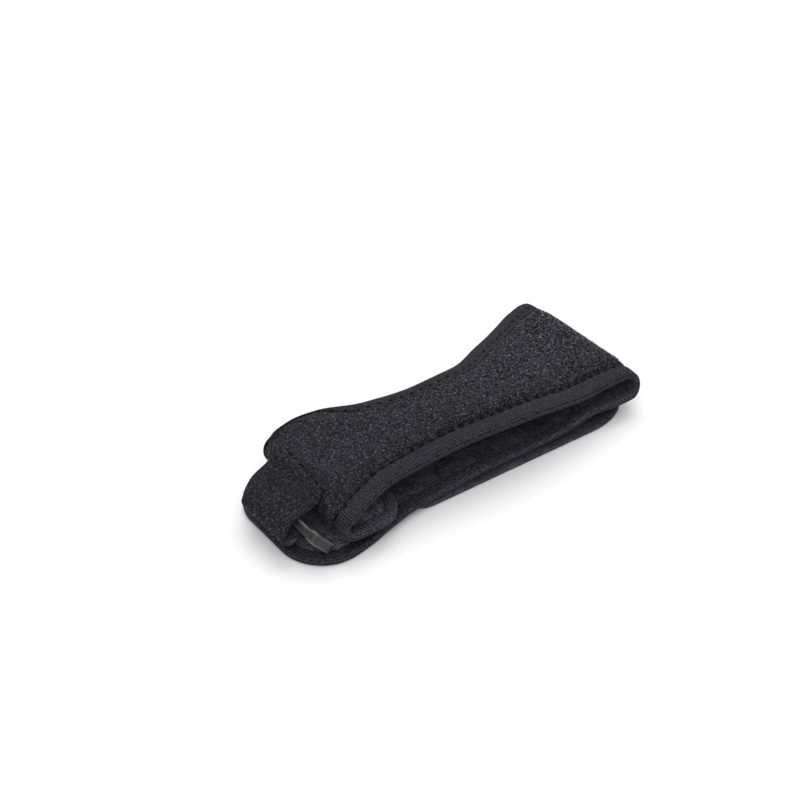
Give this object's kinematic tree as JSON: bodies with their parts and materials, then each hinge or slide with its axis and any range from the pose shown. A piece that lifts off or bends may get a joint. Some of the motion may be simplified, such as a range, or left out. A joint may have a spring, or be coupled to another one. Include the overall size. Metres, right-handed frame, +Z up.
{
  "type": "patellar knee brace",
  "caption": "Soft padded patellar strap folded flat into a loop, with a bound edge, a rolled hem, a tab holding a plastic ring, and a closing strap beneath.",
  "frame": {"origin": "centre of the outline on the surface the brace lies on", "axes": "+X along the folded brace from the ring end to the fold, +Y to the side away from the viewer, +Z up"},
  "size_m": [0.171, 0.0782, 0.025],
  "materials": {
    "loop_cloth": "loop-faced padded cloth, napped, matte",
    "elastic_tape": "fine-ribbed knitted elastic tape, matte",
    "tab_cloth": "loop-faced cloth, napped, matte",
    "ring_plastic": "moulded, satin",
    "strap_cloth": "smooth knitted cloth, matte"
  },
  "bodies": {
    "root": {"band": "loop_cloth", "edge_binding": "elastic_tape", "ring_tab": "tab_cloth", "ring": "ring_plastic", "closing_strap": "strap_cloth"}
  },
  "joints": []
}
